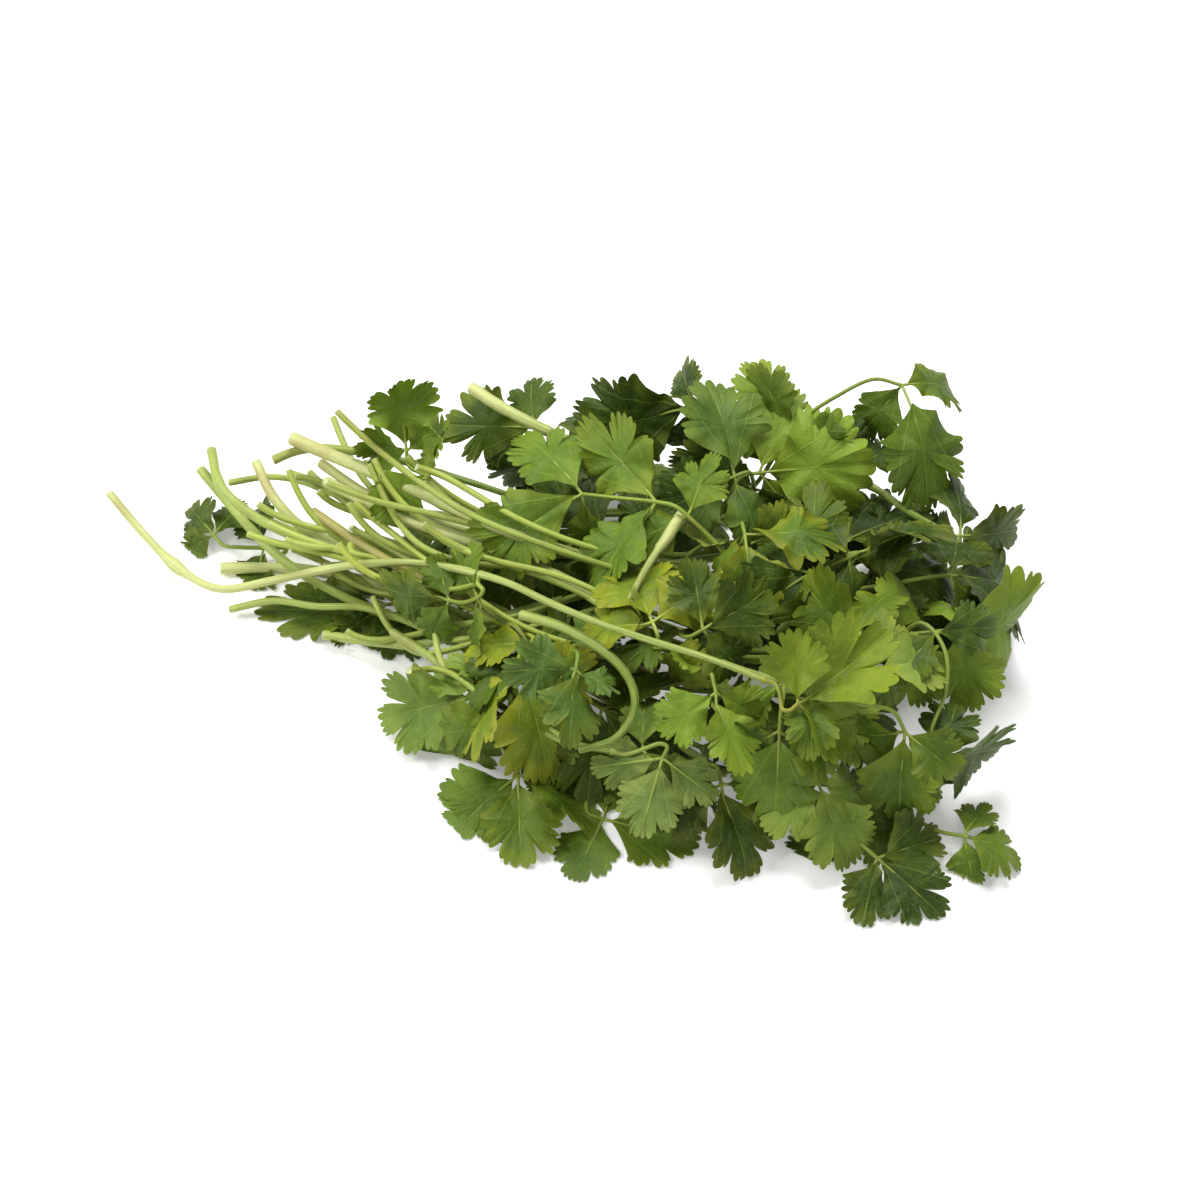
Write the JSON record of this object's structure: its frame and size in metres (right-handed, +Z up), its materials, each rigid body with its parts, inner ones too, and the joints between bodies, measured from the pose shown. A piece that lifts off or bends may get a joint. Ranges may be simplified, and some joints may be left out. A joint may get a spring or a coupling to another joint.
{
  "type": "coriander bunch",
  "caption": "Loose bunch of fresh coriander lying flat: thin cut stems fanning out at one end, a wide mound of lobed, toothed leaves on forked stalks at the other.",
  "frame": {"origin": "bottom centre of the bunch's bounding box, on the surface it lies on", "axes": "+X from the cut stem ends towards the leafy end, +Y from the front towards the back, +Z up from the surface"},
  "size_m": [0.2886, 0.1726, 0.0653],
  "materials": {
    "stem_pale": "satin",
    "stem_green": "satin",
    "stem_ruddy": "satin",
    "leaf_dark": "matte",
    "leaf_mid": "matte",
    "leaf_blue": "matte",
    "leaf_light": "matte",
    "leaf_yellow": "matte",
    "leaf_pale": "matte"
  },
  "bodies": {
    "root": {"stem_01": "stem_pale", "stem_02": "stem_green", "stem_03": "stem_green", "stem_04": "stem_green", "stem_05": "stem_pale", "stem_06": "stem_green", "stem_07": "stem_pale", "stem_08": "stem_pale", "stem_09": "stem_pale", "stem_10": "stem_pale", "stem_11": "stem_green", "stem_12": "stem_green", "stem_13": "stem_ruddy", "stem_14": "stem_pale", "stem_15": "stem_green", "stem_16": "stem_green", "stem_17": "stem_pale", "stem_18": "stem_green", "leaf_feathered": "leaf_light", "leaf_left_front": "leaf_mid", "leaf_left_low": "leaf_dark", "leaf_low_left": "leaf_dark", "leaf_back_curl": "leaf_light", "leaf_back_dark": "leaf_dark", "leaf_crown_toothed": "leaf_dark", "leaf_crown_blue": "leaf_blue", "leaf_crown_folded": "leaf_light", "leaf_crown_fan": "leaf_light", "leaf_tall_back": "leaf_dark", "leaf_small_back": "leaf_dark", "leaf_right_back": "leaf_dark", "leaf_right_dark": "leaf_dark", "leaf_right_light": "leaf_light", "leaf_middle_star": "leaf_mid", "leaf_middle_hanging": "leaf_mid", "leaf_middle_yellow": "leaf_yellow", "leaf_front_blue": "leaf_blue", "leaf_front_yellow": "leaf_yellow", "leaf_front_left": "leaf_pale", "leaf_front_point": "leaf_mid", "leaf_front_veined": "leaf_pale", "leaf_front_deep": "leaf_dark", "leaf_front_bright": "leaf_light", "leaf_front_middle": "leaf_mid", "leaf_middle_front": "leaf_dark", "leaf_right_folded": "leaf_mid", "leaf_bright_curl": "leaf_yellow", "leaf_pale_green": "leaf_pale", "leaf_front_corner_pale": "leaf_pale", "leaf_right_front": "leaf_dark", "leaf_corner": "leaf_dark", "leaf_corner_small": "leaf_mid", "leaf_inner_right": "leaf_dark", "leaf_inner_middle": "leaf_dark", "leaf_resting": "leaf_mid", "leaf_core_front": "leaf_dark", "leaf_core_left": "leaf_dark", "leaf_low_right": "leaf_dark", "leaf_low_back": "leaf_dark", "leaf_inner_low": "leaf_dark"}
  },
  "joints": []
}
